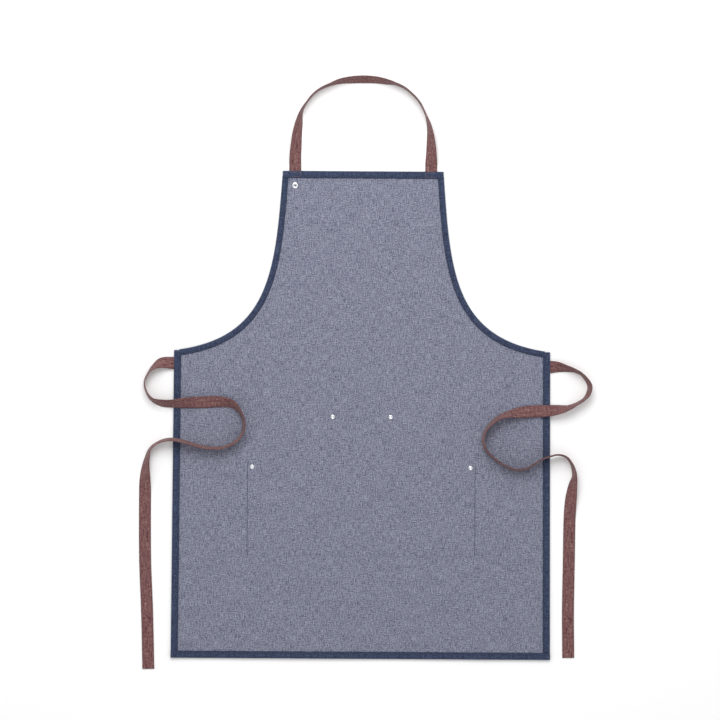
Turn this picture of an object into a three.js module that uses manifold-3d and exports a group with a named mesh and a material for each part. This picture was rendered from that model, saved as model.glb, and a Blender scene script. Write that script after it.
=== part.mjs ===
// A denim bib apron for a welder's or metal worker's bench, lying flat on its front face, so that the
// wearer's side faces up. Millimetres, +X to the right, +Y towards the neck, +Z up off the table.
// The origin is on the table, on the centre line, midway between the hem and the top of the neck loop.
import * as THREE from "three";
import { mergeVertices } from "three/addons/utils/BufferGeometryUtils.js";
import Module from "manifold-3d";

// --- Driving dimensions ---------------------------------------------------------------------------

// The body.
const BODY_LENGTH = 900; // bib top to hem
const LOOP_RISE = 176; // top of the neck loop over the bib top
const HEM_WIDTH = 700;
const WAIST_WIDTH = 694; // across the two waist corners
const BIB_WIDTH = 295;
const BIB_DROP = 332; // bib top down to the waist corners
const ARMHOLE_START = new THREE.Vector2(12.5, 187); // pull of the upper end: out, and down the bib
const ARMHOLE_END = new THREE.Vector2(177, 22); // pull of the lower end: in from the corner, and up
const ARMHOLE_STEPS = 26;

// Cloth and binding.
const CLOTH = 0.8; // one layer of denim
const BINDING_LEG = 1.6; // the two layers of a binding's leg, and of its fold
const EDGE_BINDING = 13; // width of the top, side and bottom bindings
const ARMHOLE_BINDING = 11;
const LAYER_GAP = 0.1; // between layers that lie on each other
const CUT_GAP = 0.3; // between edges that meet
const CUT_MARGIN = 1; // a cutting slab stands past what it cuts

// The patch pocket on the front, with a slanted hand opening on each side.
const POCKET_WIDTH = 426;
const POCKET_TOP_WIDTH = 122;
const POCKET_TOP_DROP = 448; // bib top down to the pocket's short top edge
const POCKET_SIDE_TOP_DROP = 538; // bib top down to the lower end of a hand opening
const POCKET_BOTTOM_DROP = 713;
const INNER_RIVET_INSET = new THREE.Vector2(7.5, 5.5); // in from the top corner, and down
const OUTER_RIVET_INSET = new THREE.Vector2(11.5, 8.5); // in from the side corner, and down

// Rivets: a cap with its post at the front, and a ring pressed on the post at the back.
const RIVET_CAP_RADIUS = 4.6;
const RIVET_POST_RADIUS = 1.6;
const RIVET_BACK_RADIUS = 4;
const RIVET_BACK_HEIGHT = 0.9;
const ROUND_STEPS = 24;

// The eyelet: a flanged barrel from the front, and a ring at the back.
const EYELET_IN = 22; // in from the bib's edge
const EYELET_DROP = 27; // bib top down to the eyelet
const EYELET_BORE = 2.1; // radius
const EYELET_WALL = 0.7;
const EYELET_FLANGE_RADIUS = 5.5;
const EYELET_FLANGE_HEIGHT = 0.6;
const EYELET_RING_HEIGHT = 0.8;

// Cotton tape.
const TAPE_WIDTH = 22;
const TAPE_THICK = 1.2;
const TAPE_PRESSED = 0.7; // thickness where it is sewn in
const TAPE_TUCK = 11; // length sewn inside a binding
const NECK_SPACING = 251; // between the centres of the neck strap's two ends
const LEFT_TIE_DROP = 24; // waist corner down to the tie's centre
const RIGHT_TIE_DROP = 27;
const ROOT_GAP = 0.5; // between the neck strap and the bib's top
const FLAT_ROOT = 10; // the neck strap leaves the bib flat this far, so that it can fold there
const EDGE_CLEARANCE = 0.4; // under a tape that crosses a binding
const CLOTH_CLEARANCE = 0.3; // and under one that lies on the panel
const STEPS_A_POINT = 2; // tape sections between two points of a route

// --- Levels and places that follow ----------------------------------------------------------------

const BIB_TOP = (BODY_LENGTH + LOOP_RISE) / 2;
const TOP_Y = BIB_TOP - LOOP_RISE;
const HEM_Y = TOP_Y - BODY_LENGTH;
const WAIST_Y = TOP_Y - BIB_DROP;
const PANEL_LOW = BINDING_LEG + LAYER_GAP;
const PANEL_HIGH = PANEL_LOW + CLOTH;
const SLOT_HIGH = PANEL_HIGH + LAYER_GAP;
const BINDING_HIGH = SLOT_HIGH + BINDING_LEG;
const POCKET_HIGH = PANEL_LOW - LAYER_GAP;
const POCKET_LOW = POCKET_HIGH - CLOTH;
const RIVET_CAP_HEIGHT = POCKET_LOW - LAYER_GAP; // a cap fills the room between table and pocket
const TAPE_END_HIGH = PANEL_LOW - LAYER_GAP;
const TAPE_END_LOW = TAPE_END_HIGH - TAPE_PRESSED;
const TAPE_ROOT_LOW = (TAPE_END_HIGH + TAPE_END_LOW - TAPE_THICK) / 2;
const NECK_X = NECK_SPACING / 2;
const SLOPE_PER_Y = (HEM_WIDTH - WAIST_WIDTH) / 2 / (WAIST_Y - HEM_Y);

// The half width at a height, on the straight side seam.
const sideAt = (y) => WAIST_WIDTH / 2 + (WAIST_Y - y) * SLOPE_PER_Y;

// --- Routes of the tape ---------------------------------------------------------------------------
// Each point is [x, y, height of the lower edge, tilt in degrees]: 0 lies flat and 90 stands on edge.

const OVER_EDGE = BINDING_HIGH + EDGE_CLEARANCE; // lower edge of a tape that crosses a binding
const OVER_CLOTH = PANEL_HIGH + CLOTH_CLEARANCE; // and of one that lies on the panel

const NECK_ROUTE = [
  [-NECK_X, TOP_Y + ROOT_GAP, TAPE_ROOT_LOW, 0],
  [-NECK_X, TOP_Y + FLAT_ROOT, TAPE_ROOT_LOW, 0],
  [-NECK_X, 387, TAPE_ROOT_LOW, 15],
  [-124, 410, 0, 27],
  [-122, 432, 0, 41],
  [-119, 450, 0, 54],
  [-116, 466, 0, 73],
  [-112, 477, 0, 83],
  [-105, 488, 0, 87],
  [-94, 502, 0, 87],
  [-80, 513, 0, 86],
  [-62, 521, 0, 82],
  [-44, 527, 0, 70],
  [-22, 530, 0, 60],
  [0, 531, 0, 56],
  [23, 530, 0, 61],
  [41, 527, 0, 68],
  [59, 523, 0, 83],
  [75, 516, 0, 86],
  [90, 504, 0, 87],
  [104, 488, 0, 87],
  [115, 465, 0, 86],
  [120, 450, 0, 74],
  [123, 434, 0, 62],
  [125, 411, 0, 43],
  [NECK_X, 389, TAPE_ROOT_LOW, 27],
  [NECK_X, TOP_Y + FLAT_ROOT, TAPE_ROOT_LOW, 0],
  [NECK_X, TOP_Y + ROOT_GAP, TAPE_ROOT_LOW, 0],
];

const LEFT_TIE_ROUTE = [
  [-sideAt(WAIST_Y - LEFT_TIE_DROP) - CUT_GAP, WAIST_Y - LEFT_TIE_DROP, TAPE_ROOT_LOW, 0],
  [-370, WAIST_Y - LEFT_TIE_DROP, TAPE_ROOT_LOW, 31],
  [-382, 0, 0.2, 63],
  [-393, -11, 0, 80],
  [-401, -29, 0, 83],
  [-397, -48, 0, 80],
  [-386, -62, 0.5, 73],
  [-369, -68, 3, 54],
  [-349, -69, OVER_EDGE, 48],
  [-323, -67, OVER_EDGE, 29],
  [-291, -66, OVER_CLOTH, 10],
  [-260, -65, OVER_CLOTH, 24],
  [-239, -69, OVER_CLOTH, 48],
  [-225, -82, OVER_CLOTH, 71],
  [-217, -102, OVER_CLOTH, 76],
  [-220, -123, OVER_CLOTH, 76],
  [-232, -138, OVER_CLOTH, 78],
  [-252, -148, OVER_CLOTH, 78],
  [-278, -150, OVER_CLOTH, 78],
  [-306, -145, 3.6, 76],
  [-333, -137, OVER_EDGE, 76],
  [-356, -135, OVER_EDGE, 76],
  [-376, -141, 1.6, 80],
  [-390, -153, 0.2, 78],
  [-395, -170, 0, 63],
  [-398, -189, 0, 45],
  [-399, -209, 0, 24],
  [-399, -235, 0, 0],
  [-399, -287, 0, 0],
  [-398, -361, 0, 0],
  [-394, -453, 0, 0],
  [-391, -559, 0, 0],
];

const RIGHT_TIE_ROUTE = [
  [sideAt(WAIST_Y - RIGHT_TIE_DROP) + CUT_GAP, WAIST_Y - RIGHT_TIE_DROP, TAPE_ROOT_LOW, 0],
  [360, WAIST_Y - RIGHT_TIE_DROP, TAPE_ROOT_LOW, 30],
  [377, 0, 0.2, 58],
  [393, -4, 0, 74],
  [406, -11, 0, 80],
  [420, -31, 0, 71],
  [418, -45, 0, 71],
  [410, -56, 0, 80],
  [396, -65, 0.3, 78],
  [381, -72, 1.6, 67],
  [361, -76, 4, 38],
  [342, -78, OVER_EDGE, 15],
  [319, -79, OVER_EDGE, 0],
  [295, -81, 3, 21],
  [273, -84, OVER_CLOTH, 57],
  [253, -91, OVER_CLOTH, 71],
  [236, -105, OVER_CLOTH, 78],
  [226, -120, OVER_CLOTH, 80],
  [224, -136, OVER_CLOTH, 81],
  [230, -152, OVER_CLOTH, 81],
  [245, -167, OVER_CLOTH, 81],
  [263, -179, OVER_CLOTH, 81],
  [283, -187, OVER_CLOTH, 80],
  [302, -186, 3.2, 78],
  [318, -177, 4, 80],
  [334, -167, OVER_EDGE, 81],
  [348, -162, OVER_EDGE, 81],
  [363, -159, 2.8, 82],
  [377, -163, 0.8, 82],
  [386, -173, 0.1, 82],
  [391, -185, 0, 76],
  [393, -199, 0, 70],
  [390, -216, 0, 48],
  [387, -241, 0, 22],
  [385, -275, 0, 0],
  [384, -356, 0, 0],
  [383, -449, 0, 0],
  [384, -534, 0, 0],
];

// --- Solids ---------------------------------------------------------------------------------------

const wasm = await Module();
wasm.setup();

// A closed geometry as a solid that can be cut and joined.
function toSolid(geometry) {
  const bare = geometry.clone();
  bare.deleteAttribute("normal");
  bare.deleteAttribute("uv");
  const merged = mergeVertices(bare, 1e-4);
  return new wasm.Manifold(
    new wasm.Mesh({
      numProp: 3,
      vertProperties: merged.attributes.position.array,
      triVerts: new Uint32Array(merged.index.array),
    }),
  );
}

function toGeometry(solid) {
  const cut = solid.getMesh();
  const geometry = new THREE.BufferGeometry();
  geometry.setAttribute("position", new THREE.BufferAttribute(cut.vertProperties, 3));
  geometry.setIndex(new THREE.BufferAttribute(cut.triVerts, 1));
  const flat = geometry.toNonIndexed();
  flat.computeVertexNormals();
  return flat;
}

// A flat outline as a slab between two heights.
function slab(shape, low, high) {
  const geometry = new THREE.ExtrudeGeometry(shape, { depth: high - low, bevelEnabled: false });
  return geometry.translate(0, 0, low);
}

function rectangle(left, right, low, high) {
  return new THREE.Shape([
    new THREE.Vector2(left, low),
    new THREE.Vector2(right, low),
    new THREE.Vector2(right, high),
    new THREE.Vector2(left, high),
  ]);
}

// Drills an upright hole through a solid.
function drilled(solid, x, y, radius) {
  const depth = 4 * BINDING_HIGH;
  const drill = new THREE.CylinderGeometry(radius, radius, depth, ROUND_STEPS);
  return solid.subtract(toSolid(drill.rotateX(Math.PI / 2).translate(x, y, 0)));
}

// A turned profile of [radius, height] corners, closed on itself, about an upright axis at x, y.
function turned(corners, x, y) {
  const closed = [...corners, corners[0]].map(([radius, height]) => new THREE.Vector2(radius, height));
  const geometry = new THREE.LatheGeometry(closed, ROUND_STEPS);
  return geometry.rotateX(Math.PI / 2).translate(x, y, 0);
}

// --- The body's outline ---------------------------------------------------------------------------

// The right armhole's edge, from the bib top to the waist corner, moved into the cloth by an inset.
function armhole(inset) {
  const curve = new THREE.CubicBezierCurve(
    new THREE.Vector2(BIB_WIDTH / 2, TOP_Y),
    new THREE.Vector2(BIB_WIDTH / 2 + ARMHOLE_START.x, TOP_Y - ARMHOLE_START.y),
    new THREE.Vector2(WAIST_WIDTH / 2 - ARMHOLE_END.x, WAIST_Y + ARMHOLE_END.y),
    new THREE.Vector2(WAIST_WIDTH / 2, WAIST_Y),
  );
  return Array.from({ length: ARMHOLE_STEPS + 1 }, (_, i) => {
    const along = curve.getTangent(i / ARMHOLE_STEPS);
    const inward = new THREE.Vector2(along.y, -along.x);
    return curve.getPoint(i / ARMHOLE_STEPS).addScaledVector(inward, inset);
  });
}

// Keeps the part of a run of points where a measure is not negative, cut at the crossing itself.
function cutRun(points, measure) {
  const kept = [];
  points.forEach((point, i) => {
    const here = measure(point);
    const before = i > 0 ? measure(points[i - 1]) : here;
    if (before * here < 0) kept.push(points[i - 1].clone().lerp(point, before / (before - here)));
    if (here >= 0) kept.push(point);
  });
  return kept;
}

// The whole body's outline, moved in from its edge by an inset.
function bodyShape(inset) {
  const top = TOP_Y - inset;
  const hem = HEM_Y + inset;
  const underTop = cutRun(armhole(inset), (point) => top - point.y);
  const edge = cutRun(underTop, (point) => sideAt(point.y) - inset - point.x);
  const right = [...edge, new THREE.Vector2(sideAt(hem) - inset, hem)];
  const left = right.map((point) => new THREE.Vector2(-point.x, point.y)).reverse();
  return new THREE.Shape([...right, ...left]);
}

// --- Places of the hardware -----------------------------------------------------------------------

const EYELET_AT = new THREE.Vector2(EYELET_IN - BIB_WIDTH / 2, TOP_Y - EYELET_DROP);
const INNER_RIVET_AT = new THREE.Vector2(
  POCKET_TOP_WIDTH / 2 - INNER_RIVET_INSET.x,
  TOP_Y - POCKET_TOP_DROP - INNER_RIVET_INSET.y,
);
const OUTER_RIVET_AT = new THREE.Vector2(
  POCKET_WIDTH / 2 - OUTER_RIVET_INSET.x,
  TOP_Y - POCKET_SIDE_TOP_DROP - OUTER_RIVET_INSET.y,
);
const RIVETS = [
  ["left_outer", -OUTER_RIVET_AT.x, OUTER_RIVET_AT.y],
  ["left_inner", -INNER_RIVET_AT.x, INNER_RIVET_AT.y],
  ["right_inner", INNER_RIVET_AT.x, INNER_RIVET_AT.y],
  ["right_outer", OUTER_RIVET_AT.x, OUTER_RIVET_AT.y],
];

// Cloth with the holes that the rivets' posts pass through.
function rivetHoled(cloth) {
  return RIVETS.reduce((rest, [, x, y]) => drilled(rest, x, y, RIVET_POST_RADIUS + CUT_GAP), cloth);
}

// --- Pieces ---------------------------------------------------------------------------------------

const finish = (color, roughness, metalness) =>
  new THREE.MeshStandardMaterial({ color, roughness, metalness });
const DENIM_BACK = finish(0x85889a, 0.95, 0);
const DENIM_FRONT = finish(0x38435f, 0.92, 0);
const COTTON_TAPE = finish(0x76575a, 0.9, 0);
const NICKEL = finish(0xd8d8d6, 0.25, 1);

const apron = new THREE.Group();

function addPiece(name, geometry, material) {
  const piece = new THREE.Mesh(geometry, material);
  piece.name = name;
  apron.add(piece);
}

// The body: one cut of denim, its edge held inside the folds of the bindings.
function addMainPanel() {
  const cloth = toSolid(slab(bodyShape(BINDING_LEG + CUT_GAP), PANEL_LOW, PANEL_HIGH));
  const holed = drilled(rivetHoled(cloth), EYELET_AT.x, EYELET_AT.y, EYELET_BORE + EYELET_WALL + CUT_GAP);
  addPiece("main_panel", toGeometry(holed), DENIM_BACK);
}

// The pocket: one cut of denim under the panel, open along its two slanted sides.
function addPocket() {
  const half = POCKET_WIDTH / 2;
  const topHalf = POCKET_TOP_WIDTH / 2;
  const bottom = TOP_Y - POCKET_BOTTOM_DROP;
  const shape = new THREE.Shape([
    new THREE.Vector2(-half, bottom),
    new THREE.Vector2(half, bottom),
    new THREE.Vector2(half, TOP_Y - POCKET_SIDE_TOP_DROP),
    new THREE.Vector2(topHalf, TOP_Y - POCKET_TOP_DROP),
    new THREE.Vector2(-topHalf, TOP_Y - POCKET_TOP_DROP),
    new THREE.Vector2(-half, TOP_Y - POCKET_SIDE_TOP_DROP),
  ]);
  const cloth = toSolid(slab(shape, POCKET_LOW, POCKET_HIGH));
  addPiece("pocket_panel", toGeometry(rivetHoled(cloth)), DENIM_FRONT);
}

// The sewn end of a tape, pressed flat inside a binding. It runs out to the binding's edge at x, y.
// The pocket cut for it in the binding is larger by the gaps, and opens through the fold.
function tapeEnd(x, y, outward) {
  const half = TAPE_WIDTH / 2;
  const across = outward.x === 0;
  const box = (side, deep, out) =>
    across
      ? rectangle(x - half - side, x + half + side, y - TAPE_TUCK - deep, y + out)
      : rectangle(
          Math.min(x - outward.x * (TAPE_TUCK + deep), x + outward.x * out),
          Math.max(x - outward.x * (TAPE_TUCK + deep), x + outward.x * out),
          y - half - side,
          y + half + side,
        );
  return {
    piece: slab(box(0, 0, 0), TAPE_END_LOW, TAPE_END_HIGH),
    pocket: toSolid(slab(box(CUT_GAP, CUT_GAP, TAPE_TUCK), TAPE_END_LOW - LAYER_GAP, PANEL_LOW)),
  };
}

// A binding is a folded strip, so its section is a U that holds the panel's edge. Each one is a part
// of the body's outline as a thick slab, less the slot for the panel and the neighbours it butts on.
function addBindings() {
  const body = toSolid(slab(bodyShape(0), 0, BINDING_HIGH));
  const slot = toSolid(slab(bodyShape(BINDING_LEG), BINDING_LEG, SLOT_HIGH));
  const wide = HEM_WIDTH;
  const tall = BODY_LENGTH;
  const cutter = (shape) => toSolid(slab(shape, -CUT_MARGIN, BINDING_HIGH + CUT_MARGIN));
  const band = (low, high) => cutter(rectangle(-wide, wide, low, high));
  const strip = (sign, width) => {
    const low = HEM_Y - tall;
    const high = WAIST_Y + tall;
    const corners = [
      new THREE.Vector2(sign * (sideAt(low) - width), low),
      new THREE.Vector2(sign * wide, low),
      new THREE.Vector2(sign * wide, high),
      new THREE.Vector2(sign * (sideAt(high) - width), high),
    ];
    const shape = new THREE.Shape(sign > 0 ? corners : corners.reverse());
    return cutter(shape);
  };

  const neckEnds = [-NECK_X, NECK_X].map((x) => tapeEnd(x, TOP_Y, new THREE.Vector2(0, 1)));
  let top = body.intersect(band(TOP_Y - EDGE_BINDING, TOP_Y + tall)).subtract(slot);
  for (const end of neckEnds) top = top.subtract(end.pocket);
  addPiece("top_binding", toGeometry(top), DENIM_FRONT);
  addPiece("neck_strap_left_end", neckEnds[0].piece, COTTON_TAPE);
  addPiece("neck_strap_right_end", neckEnds[1].piece, COTTON_TAPE);

  const bottom = body.intersect(band(HEM_Y - tall, HEM_Y + EDGE_BINDING)).subtract(slot);
  addPiece("bottom_binding", toGeometry(bottom), DENIM_FRONT);

  const underTop = band(TOP_Y - EDGE_BINDING - CUT_GAP, TOP_Y + tall);
  const overHem = band(HEM_Y - tall, HEM_Y + EDGE_BINDING + CUT_GAP);
  for (const [side, sign, drop] of [["left", -1, LEFT_TIE_DROP], ["right", 1, RIGHT_TIE_DROP]]) {
    const tieY = WAIST_Y - drop;
    const end = tapeEnd(sign * sideAt(tieY), tieY, new THREE.Vector2(sign, 0));
    const underWaist = band(HEM_Y - tall, WAIST_Y + 2 * EDGE_BINDING);
    const edge = body.intersect(strip(sign, EDGE_BINDING)).intersect(underWaist);
    const sideBinding = edge.subtract(overHem).subtract(slot).subtract(end.pocket);
    addPiece(side + "_side_binding", toGeometry(sideBinding), DENIM_FRONT);
    addPiece(side + "_tie_end", end.piece, COTTON_TAPE);

    const outer = armhole(0);
    const inner = armhole(ARMHOLE_BINDING).reverse();
    const run = [...outer, ...inner].map((point) => new THREE.Vector2(sign * point.x, point.y));
    const curved = toSolid(slab(new THREE.Shape(run), 0, BINDING_HIGH));
    const sideCut = strip(sign, EDGE_BINDING + CUT_GAP);
    const armBinding = curved.subtract(underTop).subtract(sideCut).subtract(slot);
    addPiece(side + "_armhole_binding", toGeometry(armBinding), DENIM_FRONT);
  }
}

// A tape laid along a route: a straight bar, bent so that each section sits square to the route.
function tapeAlong(route) {
  const steps = STEPS_A_POINT * (route.length - 1);
  const path = new THREE.CatmullRomCurve3(route.map(([x, y, z]) => new THREE.Vector3(x, y, z)));
  const section = (share) => {
    const at = share * (route.length - 1);
    const index = Math.min(Math.floor(at), route.length - 2);
    const tilt = THREE.MathUtils.degToRad(
      THREE.MathUtils.lerp(route[index][3], route[index + 1][3], at - index),
    );
    const along = path.getTangent(share).setZ(0).normalize();
    const left = new THREE.Vector3(-along.y, along.x, 0);
    const up = new THREE.Vector3(0, 0, 1);
    const centre = path.getPoint(share);
    centre.z = Math.max(centre.z, 0);
    centre.z += (TAPE_WIDTH / 2) * Math.sin(tilt) + (TAPE_THICK / 2) * Math.cos(tilt);
    const across = left.clone().multiplyScalar(Math.cos(tilt)).addScaledVector(up, Math.sin(tilt));
    const through = left.multiplyScalar(-Math.sin(tilt)).addScaledVector(up, Math.cos(tilt));
    return { centre, across, through };
  };
  const bar = new THREE.BoxGeometry(TAPE_WIDTH, TAPE_THICK, 1, 1, 1, steps);
  const corners = bar.attributes.position;
  for (let i = 0; i < corners.count; i += 1) {
    const { centre, across, through } = section(0.5 - corners.getZ(i));
    centre.addScaledVector(across, -corners.getX(i));
    centre.addScaledVector(through, corners.getY(i));
    corners.setXYZ(i, centre.x, centre.y, centre.z);
  }
  bar.computeVertexNormals();
  return bar;
}

// A rivet is a cap whose post goes up through pocket and panel into a ring that is pressed on it.
function addRivet(name, x, y) {
  const backLow = PANEL_HIGH + LAYER_GAP;
  const backHigh = backLow + RIVET_BACK_HEIGHT;
  const cap = turned(
    [[0, 0], [RIVET_CAP_RADIUS, 0], [RIVET_CAP_RADIUS, RIVET_CAP_HEIGHT],
      [RIVET_POST_RADIUS, RIVET_CAP_HEIGHT], [RIVET_POST_RADIUS, backHigh], [0, backHigh]],
    x, y,
  );
  addPiece(name + "_rivet_cap", cap, NICKEL);
  const bore = RIVET_POST_RADIUS + CUT_GAP;
  const back = turned(
    [[bore, backLow], [RIVET_BACK_RADIUS, backLow], [RIVET_BACK_RADIUS, backHigh], [bore, backHigh]],
    x, y,
  );
  addPiece(name + "_rivet_back", back, NICKEL);
}

// The eyelet is a barrel with a flange at the front, and a ring round the barrel at the back.
function addEyelet() {
  const outer = EYELET_BORE + EYELET_WALL;
  const flangeHigh = PANEL_LOW - LAYER_GAP;
  const ringLow = PANEL_HIGH + LAYER_GAP;
  const ringHigh = ringLow + EYELET_RING_HEIGHT;
  const barrel = turned(
    [[EYELET_BORE, flangeHigh - EYELET_FLANGE_HEIGHT],
      [EYELET_FLANGE_RADIUS, flangeHigh - EYELET_FLANGE_HEIGHT],
      [EYELET_FLANGE_RADIUS, flangeHigh], [outer, flangeHigh],
      [outer, ringHigh], [EYELET_BORE, ringHigh]],
    EYELET_AT.x, EYELET_AT.y,
  );
  addPiece("eyelet_barrel", barrel, NICKEL);
  const bore = outer + CUT_GAP;
  const ring = turned(
    [[bore, ringLow], [EYELET_FLANGE_RADIUS, ringLow],
      [EYELET_FLANGE_RADIUS, ringHigh], [bore, ringHigh]],
    EYELET_AT.x, EYELET_AT.y,
  );
  addPiece("eyelet_ring", ring, NICKEL);
}

addMainPanel();
addBindings();
addPocket();
addPiece("neck_strap", tapeAlong(NECK_ROUTE), COTTON_TAPE);
addPiece("left_waist_tie", tapeAlong(LEFT_TIE_ROUTE), COTTON_TAPE);
addPiece("right_waist_tie", tapeAlong(RIGHT_TIE_ROUTE), COTTON_TAPE);
for (const [name, x, y] of RIVETS) addRivet(name, x, y);
addEyelet();

export default apron;
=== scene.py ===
# %% [markdown]
# # A denim bib apron, wearer's side up
#
# The apron lies flat on its front on a pale table. It has a denim body, denim bindings folded over
# every edge, a patch pocket on the far side, cotton tapes and a few nickel parts. The fixed frame
# is loaded first, because every place below is worked out from it. All sizes are in metres.

import math

import bmesh
import bpy
from mathutils import Matrix, Vector, noise
from mathutils.geometry import interpolate_bezier


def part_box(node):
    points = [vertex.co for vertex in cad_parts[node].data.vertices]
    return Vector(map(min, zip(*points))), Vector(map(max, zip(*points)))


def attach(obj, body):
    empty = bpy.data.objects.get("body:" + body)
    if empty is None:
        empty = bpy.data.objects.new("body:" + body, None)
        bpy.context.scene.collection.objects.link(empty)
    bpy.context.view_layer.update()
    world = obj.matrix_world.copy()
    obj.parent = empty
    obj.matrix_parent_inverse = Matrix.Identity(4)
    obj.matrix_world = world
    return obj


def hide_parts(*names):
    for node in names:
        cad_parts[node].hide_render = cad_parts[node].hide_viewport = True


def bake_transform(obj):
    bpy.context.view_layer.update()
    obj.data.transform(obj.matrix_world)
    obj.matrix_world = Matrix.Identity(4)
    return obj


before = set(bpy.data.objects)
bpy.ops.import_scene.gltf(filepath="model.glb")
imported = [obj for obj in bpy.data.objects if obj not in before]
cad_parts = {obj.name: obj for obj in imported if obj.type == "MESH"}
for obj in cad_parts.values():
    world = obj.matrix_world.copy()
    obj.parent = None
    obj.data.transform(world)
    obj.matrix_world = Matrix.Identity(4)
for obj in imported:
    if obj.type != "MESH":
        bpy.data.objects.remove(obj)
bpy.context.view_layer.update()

# %% [markdown]
# ## Camera
#
# The apron is seen from straight above. A long lens keeps the flat cloth free of distortion and
# still shows a little of the faces of the tapes that stand on edge. The object is turned by a third
# of a degree in the view, so the camera has that turn.

# %% Camera
VIEW_CENTRE = Vector((-0.0038, 0.0136, 0.0))
VIEW_WIDTH = 1.3294
VIEW_TURN = 0.0062
CAMERA_HEIGHT = 6.0
SENSOR_WIDTH = 36

camera_data = bpy.data.cameras.new("camera")
camera_data.sensor_width = SENSOR_WIDTH
camera_data.lens = SENSOR_WIDTH * CAMERA_HEIGHT / VIEW_WIDTH
camera = bpy.data.objects.new("camera", camera_data)
camera.location = VIEW_CENTRE + Vector((0, 0, CAMERA_HEIGHT))
camera.rotation_euler = (0, 0, VIEW_TURN)
scene = bpy.context.scene
scene.collection.objects.link(camera)
scene.camera = camera
scene.view_settings.view_transform = "Standard"
print("lens", round(camera_data.lens, 1), "mm")

# %% [markdown]
# ## Light
#
# Cloth on a pale table looks best in even light, with faint shadows that lift its edges. A large
# soft light above the neck end makes the shadows, a weak one opposite fills them, and a white world
# lights the rest. A sun would give hard edges that no soft room light has.

# %% Lights


def area_light(name, place, aim, size, power):
    """A soft square light at a place, turned to face a point."""
    data = bpy.data.lights.new(name, "AREA")
    data.size = size
    data.energy = power
    lamp = bpy.data.objects.new(name, data)
    lamp.location = place
    lamp.rotation_euler = (Vector(aim) - Vector(place)).to_track_quat("-Z", "Y").to_euler()
    scene.collection.objects.link(lamp)


area_light("key", (-0.15, 1.6, 2.2), (0, 0.1, 0), 1.6, 44)
area_light("fill", (0.5, -1.4, 2.6), (0, 0, 0), 1.6, 2)
WORLD_STRENGTH = 0.725
world = bpy.data.worlds.new("studio")
world.use_nodes = True
background = world.node_tree.nodes["Background"]
background.inputs["Color"].default_value = (1, 1, 1, 1)
background.inputs["Strength"].default_value = WORLD_STRENGTH
scene.world = world
print("2 lights and a world of strength", WORLD_STRENGTH)

# %% [markdown]
# ## Finishes
#
# Every finish here is made from noise and bands in a node tree. Painted images would repeat and
# blur, and noise doesn't. A few short helpers keep the trees readable: one adds a node with its
# inputs, one draws noise out along a thread, and one adds patterns by weight.

# %% Helpers for node trees


def linear(red, green, blue):
    """A screen colour, from 0 to 255, as the linear colour that a shader takes."""
    def one(value):
        share = value / 255
        return share / 12.92 if share <= 0.04045 else ((share + 0.055) / 1.055) ** 2.4
    return (one(red), one(green), one(blue), 1)


def add_node(tree, kind, settings=None, **inputs):
    """Adds a node and sets or links its inputs, named with _ for a space or as _ and a number."""
    node = tree.nodes.new(kind)
    for name, value in (settings or {}).items():
        setattr(node, name, value)
    for name, value in inputs.items():
        label = int(name[1:]) if name[1:].isdigit() else name.replace("_", " ")
        socket = node.inputs[label]
        if isinstance(value, bpy.types.NodeSocket):
            tree.links.new(value, socket)
        else:
            socket.default_value = value
    return node


def stretched_noise(tree, vector, stretch, scale, detail=2.0):
    """Noise that is drawn out along one thread direction. Its mean is a half."""
    mapped = add_node(tree, "ShaderNodeMapping", Vector=vector, Scale=stretch).outputs[0]
    found = add_node(tree, "ShaderNodeTexNoise", Vector=mapped, Scale=scale, Detail=detail)
    return found.outputs[0]


def weighted(tree, first, weight, second=None):
    """first times weight, plus second."""
    scaled = add_node(tree, "ShaderNodeMath", {"operation": "MULTIPLY"}, _0=first, _1=weight)
    if second is None:
        return scaled.outputs[0]
    total = add_node(tree, "ShaderNodeMath", {"operation": "ADD"}, _0=scaled.outputs[0], _1=second)
    return total.outputs[0]


def new_group(name, sockets):
    """An empty shader group. sockets are (name, in or out, type, default)."""
    tree = bpy.data.node_groups.new(name, "ShaderNodeTree")
    for label, way, kind, default in sockets:
        made = tree.interface.new_socket(label, in_out=way, socket_type="NodeSocket" + kind)
        if default is not None:
            made.default_value = default
    start = tree.nodes.new("NodeGroupInput")
    end = tree.nodes.new("NodeGroupOutput")
    return tree, start, end


print("a middle grey is", round(linear(128, 128, 128)[0], 3), "in a shader")

# %% [markdown]
# ## The weave of denim
#
# Denim is a twill: indigo warp threads over pale weft threads. The right side shows the indigo and
# the wrong side shows the pale weft with indigo flecks. One weave group serves both, and each side
# gives it its own thread colours. Its pattern runs on the piece's own flat cloth coordinates in
# metres, so the threads follow a strip round a curve.

# %% The denim weave group
TWILL_PITCH = 0.0011
DIAGONAL_BANDS = 0.628
YARN_SCALE = 470
SLUB_SCALE = 110
MOTTLE_SCALE = 28

twill, twill_in, twill_out = new_group("denim weave", [
    ("Cloth", "INPUT", "Vector", None),
    ("Ground", "INPUT", "Color", (0.2, 0.2, 0.3, 1)),
    ("Fleck", "INPUT", "Color", (0.5, 0.5, 0.6, 1)),
    ("Amount", "INPUT", "Float", 0.5),
    ("Contrast", "INPUT", "Float", 1.0),
    ("Color", "OUTPUT", "Color", None),
    ("Height", "OUTPUT", "Float", None),
])
cloth = twill_in.outputs["Cloth"]
diagonal = add_node(
    twill, "ShaderNodeTexWave", {"bands_direction": "DIAGONAL"},
    Vector=cloth, Scale=DIAGONAL_BANDS / TWILL_PITCH, Distortion=1.4, Detail=1.0,
).outputs[1]
speckle = stretched_noise(twill, cloth, (1, 1, 1), YARN_SCALE, 4.0)
warp_slub = stretched_noise(twill, cloth, (6, 0.7, 1), SLUB_SCALE)
weft_slub = stretched_noise(twill, cloth, (0.7, 6, 1), SLUB_SCALE)
mottle = stretched_noise(twill, cloth, (1, 1, 1), MOTTLE_SCALE, 3.0)
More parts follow.
